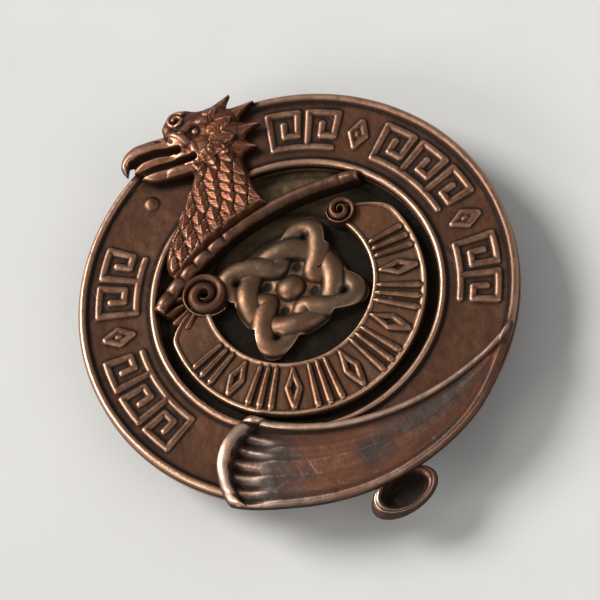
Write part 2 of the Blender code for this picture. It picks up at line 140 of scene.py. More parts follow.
def stroke_distance(x, y, points):
    """Distance from each place to an open line through points."""
    best = np.full(np.shape(x), 1e9)
    for (ax, ay), (bx, by) in zip(points, points[1:]):
        dx, dy = bx - ax, by - ay
        t = np.clip(((x - ax) * dx + (y - ay) * dy) / (dx * dx + dy * dy), 0, 1)
        best = np.minimum(best, np.hypot(x - ax - t * dx, y - ay - t * dy))
    return best


def smooth_loop(points, corners=(), samples=8):
    """A closed line through points, rounded everywhere but at its corners."""
    count, loop = len(points), []
    p = np.array(points, float)
    for i in range(count):
        here, after = p[i], p[(i + 1) % count]
        start = (after - here) if i in corners else (after - p[i - 1]) / 2
        far = p[(i + 2) % count]
        end = (after - here) if (i + 1) % count in corners else (far - here) / 2
        for s in range(samples):
            t = s / samples
            loop.append(
                (2 * t**3 - 3 * t**2 + 1) * here
                + (t**3 - 2 * t**2 + t) * start
                + (3 * t**2 - 2 * t**3) * after
                + (t**3 - t**2) * end
            )
    return [tuple(q) for q in loop]


# Meshes


def make_object(name, verts, quads, ngons=()):
    mesh = bpy.data.meshes.new(name)
    quads = np.asarray(quads, np.int32).reshape(-1, 4)
    ngons = [np.asarray(g, np.int32) for g in ngons]
    loops = np.concatenate([quads.ravel(), *ngons]) if ngons else quads.ravel()
    sizes = np.concatenate([np.full(len(quads), 4), [len(g) for g in ngons]]).astype(np.int32)
    mesh.vertices.add(len(verts))
    mesh.vertices.foreach_set("co", np.asarray(verts, np.float32).ravel())
    mesh.loops.add(len(loops))
    mesh.loops.foreach_set("vertex_index", loops.astype(np.int32))
    mesh.polygons.add(len(sizes))
    starts = np.concatenate([[0], np.cumsum(sizes)[:-1]]).astype(np.int32)
    mesh.polygons.foreach_set("loop_start", starts)
    mesh.update(calc_edges=True)
    mesh.validate()
    shape = bmesh.new()
    shape.from_mesh(mesh)
    bmesh.ops.recalc_face_normals(shape, faces=shape.faces)
    if shape.calc_volume() < 0:
        bmesh.ops.reverse_faces(shape, faces=shape.faces)
    shape.to_mesh(mesh)
    shape.free()
    mesh.shade_smooth()
    obj = bpy.data.objects.new(name, mesh)
    bpy.context.scene.collection.objects.link(obj)
    return obj


def grid_quads(index, wrap):
    """Quads over a table of vertex numbers, joined end to end along its rows when it wraps."""
    if wrap:
        index = np.vstack([index, index[:1]])
    a, b, c, d = index[:-1, :-1], index[1:, :-1], index[1:, 1:], index[:-1, 1:]
    return np.stack([a, b, c, d], -1).reshape(-1, 4)


def solid_from_top(name, top, low, wrap=False, hole=False, wall_steps=4):
    """A closed solid under a relief: its top surface, upright walls and a flat underside at low.

    top is an array of places. With wrap its rows go round, from the middle (or the hole) outwards.
    """
    rows, cols = top.shape[:2]
    index = np.arange(rows * cols).reshape(rows, cols)
    verts, quads, ngons = [top.reshape(-1, 3)], [grid_quads(index, wrap)], []
    count = rows * cols
    if wrap:
        loops = [index[:, -1]] + ([index[:, 0]] if hole else [])
        if not hole:
            ngons.append(index[:, 0])
    else:
        loops = [np.concatenate([index[:-1, 0], index[-1, :-1], index[:0:-1, -1], index[0, :0:-1]])]
    feet = []
    flat = top.reshape(-1, 3)
    for loop in loops:
        upper = flat[loop]
        previous = loop
        for step in range(1, wall_steps + 1):
            place = upper.copy()
            place[:, 2] += (low - upper[:, 2]) * step / wall_steps
            verts.append(place)
            ids = np.arange(count, count + len(loop))
            count += len(loop)
            table = np.stack([previous, ids], 1)
            quads.append(grid_quads(table, True))
            previous = ids
        feet.append(previous)
    if wrap and hole:
        quads.append(grid_quads(np.stack(feet, 1), True))
    else:
        ngons.append(feet[0])
    return make_object(name, np.concatenate(verts), np.concatenate(quads), ngons)


def remeshed(obj, name, voxel):
    """The same body with a fine, even skin."""
    obj.name = name
    mod = obj.modifiers.new("skin", "REMESH")
    mod.mode = "VOXEL"
    mod.voxel_size = voxel
    seen = obj.evaluated_get(bpy.context.evaluated_depsgraph_get())
    mesh = bpy.data.meshes.new_from_object(seen)
    obj.modifiers.clear()
    obj.data = mesh
    mesh.name = name
    mesh.shade_smooth()
    return obj


def slab_from_outline(name, outline, low, high):
    """A flat body with an outline in fractions of R."""
    count = len(outline)
    xy = np.array(outline) * R
    verts = [(x, y, z) for z in (low, high) for x, y in xy]
    quads = [(i, (i + 1) % count, count + (i + 1) % count, count + i) for i in range(count)]
    ngons = [list(range(count))[::-1], list(range(count, 2 * count))]
    return make_object(name, verts, quads, ngons)


def coordinates(obj):
    co = np.empty(len(obj.data.vertices) * 3, np.float32)
    obj.data.vertices.foreach_get("co", co)
    return co.reshape(-1, 3).astype(float)


def set_coordinates(obj, co):
    obj.data.vertices.foreach_set("co", np.asarray(co, np.float32).ravel())
    obj.data.update()


def struck(obj, low, high, relief):
    """Moves a flat slab's upper skin to a relief: heights over (x, y), its sides in proportion."""
    co = coordinates(obj)
    target = relief(co[:, 0] / R, co[:, 1] / R)
    share = np.clip((co[:, 2] - low) / (high - low), 0, 1.02)
    co[:, 2] = low + share * (target - low)
    set_coordinates(obj, co)
    return obj


def smoothed(co, edges, rounds):
    degree = np.bincount(edges.ravel(), minlength=len(co)).astype(float)[:, None]
    for _ in range(rounds):
        total = np.empty_like(co)
        for axis in range(3):
            column = co[:, axis]
            total[:, axis] = np.bincount(
                edges[:, 0], column[edges[:, 1]], len(co)
            ) + np.bincount(edges[:, 1], column[edges[:, 0]], len(co))
        co = 0.5 * co + 0.5 * total / degree
    return co


def mark_wear_and_painted_light(obj, painted_light=None, tone=None, fine=6, wide=36):
    """Stores how far each point stands proud of its surroundings: what rubbing wears bright.

    The painted-light function and tone give values over (x, y) in fractions of R: painted shade
    (below zero, a painted highlight) and a shift of colour.
    Walls and undersides get a painted shade, which also cancels their wear.
    """
    mesh = obj.data
    co = coordinates(obj)
    edges = np.empty(len(mesh.edges) * 2, np.int32)
    mesh.edges.foreach_get("vertices", edges)
    edges = edges.reshape(-1, 2)
    normals = np.empty(len(mesh.vertices) * 3, np.float32)
    mesh.vertex_normals.foreach_get("vector", normals)
    normals = normals.reshape(-1, 3)
    near = smoothed(co, edges, fine)
    far = smoothed(near, edges, wide - fine)
    facing = 0.12 + 0.88 * np.clip(normals[:, 2], 0, 1)
    wear = np.einsum("ij,ij->i", co - near, normals) / (0.045 * MM)
    relief = np.einsum("ij,ij->i", co - far, normals) / (0.16 * MM)
    x, y = co[:, 0] / R, co[:, 1] / R
    # Painted shade on walls and undersides, which face sideways or down.
    walls = 0.80 * np.clip(1 - 2.5 * normals[:, 2], 0, 1)
    values = {
        "wear": wear * np.where(wear > 0, facing, 1),
        "relief": relief * np.where(relief > 0, facing, 1),
        "painted_light": np.where(walls > 0, walls, painted_light(x, y) if painted_light else 0),
        "tone": tone(x, y) if tone else 0 * x,
    }
    for name, value in values.items():
        layer = mesh.attributes.new(name, "FLOAT", "POINT")
        layer.data.foreach_set("value", np.clip(value, -2, 2).astype(np.float32))


# Materials


class Tree:
    """Short names for building a material's nodes."""

    def __init__(self, name):
        self.material = bpy.data.materials.new(name)
        self.material.use_nodes = True
        self.nodes = self.material.node_tree.nodes
        self.links = self.material.node_tree.links
        self.shader = self.nodes["Principled BSDF"]
        self.place = self.nodes.new("ShaderNodeTexCoord").outputs["Object"]

    def link(self, source, target):
        self.links.new(source, target)

    def fill(self, socket, value):
        if isinstance(value, (int, float)):
            socket.default_value = value
        elif isinstance(value, tuple):
            socket.default_value = (*value, 1.0)
        else:
            self.link(value, socket)

    def noise(self, scale, detail=4.0, rough=0.55, stretch=None):
        node = self.nodes.new("ShaderNodeTexNoise")
        node.inputs["Scale"].default_value = scale
        node.inputs["Detail"].default_value = detail
        node.inputs["Roughness"].default_value = rough
        source = self.place
        if stretch:
            mapping = self.nodes.new("ShaderNodeMapping")
            mapping.inputs["Scale"].default_value = stretch
            self.link(self.place, mapping.inputs["Vector"])
            source = mapping.outputs["Vector"]
        self.link(source, node.inputs["Vector"])
        return node.outputs["Fac"]

    def attribute(self, name):
        node = self.nodes.new("ShaderNodeAttribute")
        node.attribute_name = name
        return node.outputs["Fac"]

    def remap(self, value, low, high, to_low=0.0, to_high=1.0):
        node = self.nodes.new("ShaderNodeMapRange")
        node.clamp = True
        for socket, number in zip(
            ("From Min", "From Max", "To Min", "To Max"), (low, high, to_low, to_high)
        ):
            node.inputs[socket].default_value = number
        self.fill(node.inputs["Value"], value)
        return node.outputs["Result"]

    def math(self, operation, a, b):
        node = self.nodes.new("ShaderNodeMath")
        node.operation = operation
        self.fill(node.inputs[0], a)
        self.fill(node.inputs[1], b)
        return node.outputs["Value"]

    def mix(self, share, a, b):
        node = self.nodes.new("ShaderNodeMix")
        node.data_type = "RGBA"
        self.fill(node.inputs["Factor"], share)
        self.fill(node.inputs["A"], a)
        self.fill(node.inputs["B"], b)
        return node.outputs["Result"]

    def bump(self, height, distance, strength=1.0, after=None):
        node = self.nodes.new("ShaderNodeBump")
        node.inputs["Strength"].default_value = strength
        node.inputs["Distance"].default_value = distance
        self.link(height, node.inputs["Height"])
        if after is not None:
            self.link(after, node.inputs["Normal"])
        return node.outputs["Normal"]


def patina(name, body, tint, dark, bright, worn=1.0, painted_light=1.0, roughness=0.42):
    """Old bronze: mottled brown skin, dark patina in the hollows with painted shade added where
    each piece asks for it, and paler metal on the worn edges and on painted highlights.
    """
    tree = Tree(name)
    wear, relief = tree.attribute("wear"), tree.attribute("relief")
    clouds = tree.noise(170, 5, 0.6)
    blotch = tree.noise(620, 5, 0.65)
    grain = tree.noise(5200, 3, 0.6)
    lines = tree.noise(1500, 4, 0.6, stretch=(1.0, 0.06, 1.0))
    cross = tree.noise(1700, 4, 0.6, stretch=(0.05, 1.0, 1.0))
    scratches = tree.math("MAXIMUM", tree.remap(lines, 0.64, 0.74), tree.remap(cross, 0.66, 0.76))
    shade = tree.math("ADD", clouds, tree.math("MULTIPLY", tree.attribute("tone"), 0.12))
    colour = tree.mix(tree.remap(shade, 0.38, 0.62), body, tint)
    mottled = tree.mix(tree.remap(blotch, 0.34, 0.74, 0.0, 0.55), colour, dark)
    # Darkening: the real patina in the hollows from the relief, raised to the painted shade where
    # that is stronger.
    patina_and_shade = tree.math("ADD", relief, tree.remap(blotch, 0.2, 0.8, -0.28, 0.28))
    patina_and_shade = tree.remap(patina_and_shade, 0.02, -0.62)
    # The stored painted light: painted shade above zero, painted highlight below zero.
    painted_light_mask = tree.attribute("painted_light")
    patina_and_shade = tree.math("MAXIMUM", patina_and_shade, tree.math("MINIMUM", painted_light_mask, 1.0))
    hollow_patina_and_shade = tree.math("MULTIPLY", patina_and_shade, 0.94 * painted_light)
    shaded_patina = tree.mix(hollow_patina_and_shade, mottled, dark)
    edge = tree.math("ADD", tree.math("MULTIPLY", wear, 0.75), tree.math("MULTIPLY", relief, 0.35))
    edge = tree.math("ADD", edge, tree.remap(blotch, 0.25, 0.75, -0.30, 0.14))
    # Painted shade takes away the worn paleness; painted highlight adds to it.
    edge = tree.math("SUBTRACT", edge, painted_light_mask)
    wear_and_painted_highlight = tree.math("MULTIPLY", tree.remap(edge, 0.12, 1.05), 0.85 * worn)
    rubbed = tree.math("MULTIPLY", scratches, 0.16 * worn)
    finished = tree.mix(tree.math("MAXIMUM", wear_and_painted_highlight, rubbed), shaded_patina, bright)
    tree.link(finished, tree.shader.inputs["Base Color"])
    rough = tree.remap(blotch, 0.25, 0.75, roughness - 0.07, roughness + 0.11)
    rough = tree.math("ADD", rough, tree.math("MULTIPLY", hollow_patina_and_shade, 0.30))
    rough = tree.math("SUBTRACT", rough, tree.math("MULTIPLY", wear_and_painted_highlight, 0.14))
    tree.link(rough, tree.shader.inputs["Roughness"])
    tree.link(tree.remap(hollow_patina_and_shade, 0.0, 1.0, 0.94, 0.80), tree.shader.inputs["Metallic"])
    normal = tree.bump(blotch, 0.06 * MM, 0.40)
    normal = tree.bump(grain, 0.012 * MM, 0.60, normal)
    normal = tree.bump(scratches, -0.006 * MM, 0.5, normal)
    tree.link(normal, tree.shader.inputs["Normal"])
    return tree.material


def plain_metal(name, body, dark, roughness, streaks=None):
    """Fitting metal with light tarnish, fine scratches and grain."""
    tree = Tree(name)
    cloud = tree.noise(480, 5, 0.6)
    line = tree.noise(2600, 3, 0.5, stretch=streaks)
    colour = tree.mix(tree.remap(cloud, 0.42, 0.72, 0.0, 0.75), body, dark)
    tree.link(colour, tree.shader.inputs["Base Color"])
    rough = tree.remap(line, 0.3, 0.7, roughness - 0.07, roughness + 0.09)
    tree.link(rough, tree.shader.inputs["Roughness"])
    tree.shader.inputs["Metallic"].default_value = 0.95
    normal = tree.bump(line, 0.01 * MM, 0.35)
    tree.link(normal, tree.shader.inputs["Normal"])
    return tree.material


def finish_piece(obj, body, slot, material, *nodes):
    obj.data.materials.clear()
    obj.data.materials.append(material)
    if nodes:
        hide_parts(*nodes)
    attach(obj, body)
    return obj


# Front pieces


def key_strokes(angle, radius, start, end, kinds):
    """A run of key-pattern units and lozenges round the band, as a raised height from 0 to 1."""
    half, stroke = 0.086, 0.0175
    width = (end - start) / len(kinds)
    span = abs(math.radians(width)) * BAND_MIDDLE
    across = radius - BAND_MIDDLE
    height = np.zeros(np.broadcast(angle, radius).shape)
    key = [(-0.36, -1), (-0.36, 1), (0.36, 1), (0.36, -0.33), (0.0, -0.33), (0.0, 0.36)]
    for i, kind in enumerate(kinds):
        centre = math.radians(start + width * (i + 0.5))
        along = -np.angle(np.exp(1j * (angle - centre))) * BAND_MIDDLE
        if kind == "key":
            left = -0.5 if i and kinds[i - 1] == "key" else -0.36
            right = 0.5 if i + 1 < len(kinds) and kinds[i + 1] == "key" else 0.36
            paths = [key, [(left, -1), (right, -1)]]
        else:
            paths = [
                [(-0.20, 0), (0, 0.72), (0.20, 0), (0, -0.72), (-0.20, 0)],
                [(0, 0.05), (0, -0.05)],
            ]
        for path in paths:
            distance = stroke_distance(along, across, [(u * span, v * half) for u, v in path])
            height = np.maximum(height, ridge(distance, stroke) ** 0.75)
    return height


def make_ring():
    """The ring-shaped strap: two rims, and between them a shallow trough with raised keys."""
    count, rings = 1200, 74
    angle = full_turn(count)
    radius = np.linspace(RING_INNER, 1.0, rings)[None, :] * np.ones((count, 1))
    x, y = radius * np.cos(angle) * R, radius * np.sin(angle) * R
    z = BAND_Z - 0.10 * MM * ridge(radius - 0.82, 0.145)
    rim_foot = BAND_Z - 0.1 * MM
    for crest, half in RIMS:
        z = np.maximum(z, rim_foot + (RIM_Z - rim_foot) * ridge(radius - crest, half))
    raised = key_strokes(angle, radius, 198, 126, ["key"] * 3 + ["lozenge"] + ["key"] * 2)
    right = ["key"] * 2 + ["lozenge"] + ["key"] * 3 + ["lozenge"] + ["key"] * 2
    raised = np.maximum(raised, key_strokes(angle, radius, 67, -41, right))
    raised = np.maximum(raised, ridge(np.hypot(x / R - STUD[0], y / R - STUD[1]), STUD_R))
    z += 0.31 * MM * raised
    z += 0.05 * MM * unevenness(x, y, 3) + 0.03 * MM * value_noise(x, y, 9 * MM, 8)
    return solid_from_top("ring_relief", np.stack([x, y, z], -1), BASE_Z, wrap=True, hole=True)


def ring_painted_light(x, y):
    """Painted shade on the band beside where the eagle and the scroll lie over it; painted
    highlights on the rims, strongest on the left, the side towards the key light, and painted shade
    on the outer rim away from it.
    """
    loop = [(u, sunk(v)) for u, v in smooth_loop(EAGLE_OUTLINE, EAGLE_CORNERS, 3)]
    near = stroke_distance(x, y, [*loop, loop[0]])
    arc = [polar(scroll_inner(k / 30), SCROLL_START + SCROLL_SPAN * k / 30) for k in range(31)]
    lip = [polar(0.99 - 0.39 * k / 12, scroll_lip(k / 12.01)) for k in range(13)]
    for line in (arc, lip):
        near = np.minimum(near, stroke_distance(x, y + SCROLL_DROP, line))
    r, lit_side = np.hypot(x, y), np.cos(np.arctan2(y, x) - math.radians(150))
    # Painted highlight and painted shade on the two rims, by which side faces the key light.
    shine = (0.30 * lit_side - 0.18) * bump(r - 0.981, 0.014)
    shine += (0.05 + 0.12 * lit_side) * bump(r - 0.658, 0.012)
    # Painted shade beside the eagle and scroll, less the rims' painted highlight.
    return 0.95 * np.exp(-near / 0.022) - shine


def make_plate():
    """The dark field behind the overlays, with a stippled ground."""
    count, rings = 480, 110
    plate_r = plate_high.x
    angle = full_turn(count)
    radius = np.linspace(0.01, 1.0, rings)[None, :] * np.ones((count, 1)) * plate_r
    x, y = radius * np.cos(angle), radius * np.sin(angle)
    z = plate_high.z - 0.05 * MM + 0.06 * MM * unevenness(x, y, 11, 0.9 * MM)
    z -= 0.18 * MM * ease(0.985, 1.0, radius / plate_r)
    return solid_from_top("plate_field", np.stack([x, y, z], -1), plate_low.z, wrap=True)


def plate_painted_shade(x, y):
    """Painted shade, near black, in the narrow gaps and over the lower field; above, the open field
    stays brown, with a thinner painted shade along the edges that border it.
    """
    r, inner = np.hypot(x, y), np.hypot(x, y - INNER_Y)
    near = np.abs(np.hypot(x, y - RIBBON_OUTER_Y) - RIBBON_OUTER)
    near = np.minimum(near, np.abs(r - RING_INNER))
    near = np.minimum(near, np.abs(inner - RIBBON_INNER))
    near = np.minimum(near, np.abs(np.hypot(x / 1.12, y - INNER_Y) - 0.27))
    gap = np.exp(-near / 0.05)
    # Painted shade over the lower field, fading out upwards.
    lower = ease(0.42, 0.20, y)
    return np.where(y > 0.44, 0.6 * np.exp(-near / 0.025), np.maximum(gap, lower * 0.96))


def scroll_lip(t):
    """Where the scroll's lip lies, in degrees, from its outer edge (0) to its inner edge (1)."""
    return 219.5 - 4.0 * t - 6.5 * np.sin(np.pi * t) ** 0.8


def scroll_inner(share):
    return 0.60 + 0.035 * share + 0.33 * share**2.6


def scroll_outer(degrees):
    swell = 0.022 * np.exp(-(((degrees - 220) / 10) ** 2))
    return 1.012 + swell - 0.030 * ease(285, 314, degrees)


def make_scroll():
    """The horn-like lap of the strap: lip, pleated throat, domed body and bright inner rim."""
    along, across = 620, 88
    s = np.linspace(0, 1, along)[:, None] ** 1.15
    t = np.linspace(0, 1, across)[None, :]
    lip_start = scroll_lip(t)
    degrees = lip_start + (314.5 - lip_start) * s
    share = np.clip((degrees - SCROLL_START) / SCROLL_SPAN, 0, 1)
    inner = scroll_inner(share)
    outer = scroll_outer(degrees)
    width = np.maximum(outer - inner, 0.012)
    radius = outer - width * t
    angle = np.radians(degrees)
    from_lip = np.radians(degrees - lip_start) * radius
    from_outer, from_inner = width * t, width * (1 - t)
    crown = np.sin(np.pi * t**0.92)
    body = (0.42 + 1.02 * (1 - share) ** 0.7) * np.clip(crown, 0, 1) ** 0.7
    throat = ease(0.060, 0.094, from_lip) * (1 - ease(0.12, 0.27, from_lip))
    body = body * (1 - 0.50 * throat)
    pleats = 0.5 + 0.5 * np.cos(TAU * 6.5 * t + 0.6)
    body += 0.46 * (pleats**0.7 - 0.5) * throat * np.clip(crown, 0, 1) ** 0.4
    flutes = np.cos(TAU * 5.5 * t + 1.1 + 0.5 * np.sin(5 * share)) + 0.5 * np.cos(TAU * 12 * t)
    body += 0.055 * flutes * np.exp(-from_lip / 0.60) * crown * ease(0.08, 0.13, from_lip)
    body += 0.10 * crown * value_noise(share * 5, t * 4 * np.ones_like(share), 1, 23)
    lip = ridge(from_lip - 0.042, 0.043)
    body += 0.72 * lip * np.sin(np.pi * np.clip(t, 0.05, 0.95)) ** 0.2
    rim = ridge(from_inner - 0.023, 0.024) * ease(0.0, 0.05, from_lip)
    groove = bump(from_inner - 0.054, 0.014) * ease(0.02, 0.09, width)
    body += (0.58 * rim - 0.18 * groove) * (1 - 0.35 * share)
    foot = ridge(from_outer - 0.016, 0.017) * ease(0.04, 0.09, from_lip)
    body += 0.16 * foot - 0.10 * bump(from_outer - 0.042, 0.011) * ease(0.05, 0.12, width)
    z = 0.42 + body
    edge = np.minimum(np.minimum(from_lip + 0.004, from_outer + 0.003), from_inner + 0.004)
    edge = np.minimum(edge, np.radians(314.9 - degrees) * radius)
    z = LAP_Z + MM * z * rounded(edge, 0.018)
    x, y = radius * np.cos(angle) * R, (radius * np.sin(angle) - SCROLL_DROP) * R
    z += 0.045 * MM * unevenness(x, y, 21) * ease(0, 0.02, edge)
    return solid_from_top("scroll_relief", np.stack([x, y, z], -1), LAP_Z - 0.02 * MM)


def scroll_place(x, y):
    """Distances from the scroll's lip and inner edge, and the shares along and across it."""
    y = y + SCROLL_DROP
    r, degrees = np.hypot(x, y), np.degrees(np.arctan2(y, x)) % 360
    share = np.clip((degrees - SCROLL_START) / SCROLL_SPAN, 0, 1)
    inner, outer = scroll_inner(share), scroll_outer(degrees)
    t = np.clip((outer - r) / np.maximum(outer - inner, 0.012), 0, 1)
    from_lip = np.radians(degrees - scroll_lip(t)) * r
    return from_lip, r - inner, share, t


def scroll_tone(x, y):
    """Greyer by the mouth, redder along the middle, in lengthwise streaks."""
    _, _, share, t = scroll_place(x, y)
    streak = value_noise(share * 4.2, t * 7.0, 1, 91)
    streak += 0.6 * value_noise(share * 7, t * 17.0, 1, 92)
    return 1.5 * bump(share - 0.13, 0.10) - 1.2 * bump(share - 0.34, 0.12) + 1.1 * streak


def scroll_painted_light(x, y):
    """Painted shade between the pleats of the throat and in the groove beside the inner rim;
    painted highlights on the lip and on the inner rim.
    """
    from_lip, from_inner, _, t = scroll_place(x, y)
    throat = 0.80 * bump(from_lip - 0.108, 0.030) * (0.6 + 0.4 * np.cos(TAU * 6.5 * t + 3.7))
    lip = 1.05 * bump(from_lip - 0.036, 0.026)
    rim = 0.60 * bump(from_inner - 0.022, 0.013) * ease(0.03, 0.10, from_lip)
    return throat - lip - rim + 0.45 * bump(from_inner - 0.052, 0.010)


def make_tip():
    """The strap's rolled end: an oval cup whose rim stands high on the upper left."""
    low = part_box("strap_tip")[0]
    a, b = TIP_HALF[0] * R, TIP_HALF[1] * R
    count, rings = 300, 60
    angle = full_turn(count)
    share = np.linspace(0.02, 1, rings)[None, :] * np.ones((count, 1))
    x = TIP_X * R + share * a * np.cos(angle)
    y = low.y + b + share * b * np.sin(angle)
    towards = np.cos(angle - TIP_HIGH_SIDE)
    middle = 0.80 - 0.05 * towards
    rim = ridge(share - middle, 1.0 - middle)
    inner = 0.12 + 0.30 * share**2
    top = inner + (1.10 + 0.62 * towards) * rim
    ply = bump(share - middle - 0.02, 0.03) * 0.14
    z = low.z + MM * (top - ply)
    z = low.z + (z - low.z) * np.where(share > middle, np.maximum(rim, 0.05), 1)
    z += 0.04 * MM * unevenness(x, y, 31)
    return solid_from_top("tip_relief", np.stack([x, y, z], -1), low.z, wrap=True)


def tip_painted_light(x, y):
    """Painted shade inside the cup; a painted highlight on its high side, the upper left."""
    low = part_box("strap_tip")[0].y / R
    u, v = (x - TIP_X) / TIP_HALF[0], (y - low - TIP_HALF[1]) / TIP_HALF[1]
    share, towards = np.hypot(u, v), np.cos(np.arctan2(v, u) - TIP_HIGH_SIDE)
    return ease(0.76, 0.58, share) - 1.1 * np.clip(towards, 0, 1) * bump(share - 0.80, 0.08)


def make_ribbon():
    """The inner U-shaped band: low borders, with bars and lozenges raised between them."""
    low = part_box("motto_ribbon")[0].z
    count, rings, inner = 820, 52, RIBBON_INNER
    degrees = np.linspace(RIBBON_START, RIBBON_END, count)[:, None]
    drawn = ease(172, RIBBON_START, degrees) + ease(362, RIBBON_END, degrees)
    angle = np.radians(degrees)
    rise = (RIBBON_OUTER_Y - INNER_Y) * np.sin(angle)
    outer = rise + np.sqrt(RIBBON_OUTER**2 - (RIBBON_OUTER_Y - INNER_Y) ** 2 + rise**2)
    outer = outer - 0.115 * drawn
    radius = inner + (outer - inner) * np.linspace(0, 1, rings)[None, :]
    middle = 0.5 * (inner + outer)
    half = 0.5 * (outer - inner) - 0.045
    border = np.maximum(ridge(radius - inner - 0.014, 0.014), ridge(outer - 0.014 - radius, 0.014))
    z = 1.12 + 0.20 * border
    across, raised = radius - middle, np.zeros_like(radius)
    units = {
        "bars": [[(u, -1), (u, 1)] for u in (-0.34, 0, 0.34)],
        "lozenge": [[(-0.20, 0), (0, 0.95), (0.20, 0), (0, -0.95), (-0.20, 0)]],
    }
    pitch, reach, unit_half = math.radians(15.6), 0.475, 0.055
    for i in range(11):
        unit = units[("bars", "lozenge")[i % 2]]
        along = np.angle(np.exp(1j * (angle - math.radians(192) - pitch * i))) * reach
        for path in unit:
            points = [(u * pitch * reach, v * unit_half) for u, v in path]
            distance = stroke_distance(along, across * unit_half / half, points)
            raised = np.maximum(raised, ridge(distance, 0.0145))
    z += 0.42 * raised**0.8
    z += 0.07 * np.sin(np.radians(degrees) * 5.0)
    edge = np.minimum(radius - inner, outer - radius) + 0.002
    ends = np.minimum(degrees - RIBBON_START, RIBBON_END - degrees) * 0.0082 + 0.003
    z = z * rounded(np.minimum(edge, ends), 0.012)
    x, y = radius * np.cos(angle) * R, (INNER_Y + radius * np.sin(angle)) * R
    z = low + MM * z + 0.045 * MM * unevenness(x, y, 41)
    band = solid_from_top("ribbon_relief", np.stack([x, y, z], -1), low)
    objs = [band, *(make_volute(*volute, low) for volute in VOLUTES), make_pleats(low)]
    with bpy.context.temp_override(active_object=band, selected_editable_objects=objs):
        bpy.ops.object.join()
    return band


def make_volute(centre, radius, turn, low):
    """A coiled ribbon end: a spiral ridge that climbs round a dark eye."""
    count, rings = 240, 60
    angle = full_turn(count)
    share = np.linspace(0.03, 1, rings)[None, :] * np.ones((count, 1))
    wound = share * 1.9 - turn * angle / TAU
    crest = wound - np.floor(wound)
    z = 1.15 + 0.85 * ridge(crest - 0.5, 0.46) ** 0.8 + 0.20 * (1 - share)
    z -= 1.45 * (1 - ease(0.08, 0.24, share))
    z *= rounded(1 - share + 0.01, 0.16)
    x = centre[0] * R + share * radius * R * np.cos(angle)
    y = centre[1] * R + share * radius * R * np.sin(angle)
    z = low + MM * np.maximum(z, 0.2) + 0.03 * MM * unevenness(x, y, 51)
    return solid_from_top("volute", np.stack([x, y, z], -1), low, wrap=True)


def make_pleats(low):
    """Folds of the ribbon that fan out to the left of its curled end."""
    (centre_x, centre_y), start = VOLUTES[0][0], 0.075
    along, across = 70, 190
    s = np.linspace(0, 1, along)[:, None]
    t = np.linspace(0, 1, across)[None, :]
    wave = np.abs(np.sin(np.pi * 5.0 * t))
    reach = 0.185 + 0.022 * wave - 0.05 * (t - 0.35) ** 2
    radius = start + (reach - start) * s
    angle = np.radians(112 + 112 * t)
    x = (centre_x + radius * np.cos(angle)) * R
    y = (centre_y + 0.86 * radius * np.sin(angle)) * R
    z = 0.45 + 1.30 * wave**0.6 * ease(0, 0.25, s) * (1 - 0.30 * s)
    edge = np.minimum(np.minimum(1 - s, s) * 8, np.minimum(t, 1 - t) * 14)
    z = z * rounded(edge + 0.05, 1)
    return solid_from_top("pleats", np.stack([x, y, low + MM * z], -1), low)


def ribbon_painted_shade(x, y):
    """Painted shade in the eyes of the two volutes."""
    left, right = (np.hypot(x - cx, y - cy) for (cx, cy), _, _ in VOLUTES)
    return 0.95 * bump(left, 0.026) + 0.9 * bump(right, 0.017) + 0.25 * ease(0.11, 0.09, left)


def strand(x, y, points, half_width, lift):
    """A round cord laid along closed points: its height over (x, y), or -1 where it isn't."""
    best = np.full(x.shape, 1e9)
    height = np.zeros(x.shape)
    for i, (ax, ay) in enumerate(points):
        after = (i + 1) % len(points)
        dx, dy = points[after][0] - ax, points[after][1] - ay
        t = np.clip(((x - ax) * dx + (y - ay) * dy) / (dx * dx + dy * dy), 0, 1)
        distance = np.hypot(x - ax - t * dx, y - ay - t * dy)
        nearer = distance < best
        best = np.where(nearer, distance, best)
        height = np.where(nearer, lift[i] + t * (lift[after] - lift[i]), height)
    return np.where(best < half_width, height + ridge(best, half_width), -1.0)


def knot_lobe(turns):
    """How far the four-lobed cord's middle line is from the knot's centre."""
    return 0.200 - 0.080 * np.cos(4 * turns)


def knot_height(x, y):
    """A four-lobed cord interlaced with a ring, over and under by turns, around a boss."""
    turns = np.arange(0, TAU, TAU / 240)
    lobe = knot_lobe(turns)
    quatrefoil = list(zip(lobe * np.cos(turns), lobe * np.sin(turns)))
    hoop = list(zip(HOOP_R * np.cos(turns), HOOP_R * np.sin(turns)))
    cross = 0.26 * np.sin(4 * turns)
    z = np.maximum(0.42 + 0 * x, 1.05 * ridge(np.hypot(x, y), 0.060) + 0.30)
    for points, lift in ((quatrefoil, cross), (hoop, -cross)):
        h = strand(x, y, points, CORD_HALF, lift)
        z = np.maximum(z, np.where(h > -1, 0.42 + 0.98 * h, 0.1))
    for reach, size in ((0.105, 0.020), (0.238, 0.017)):
        for k in range(4):
            turn = math.radians(45 + 90 * k)
            eye = np.hypot(x - reach * math.cos(turn), y - reach * math.sin(turn))
            z -= 0.55 * bump(eye, size)
    between_lobes = bump(np.abs(np.cos(2 * np.arctan2(y, x))) - 1, 0.1)
    return z - 0.25 * between_lobes * bump(np.hypot(x, y) - 0.25, 0.02)


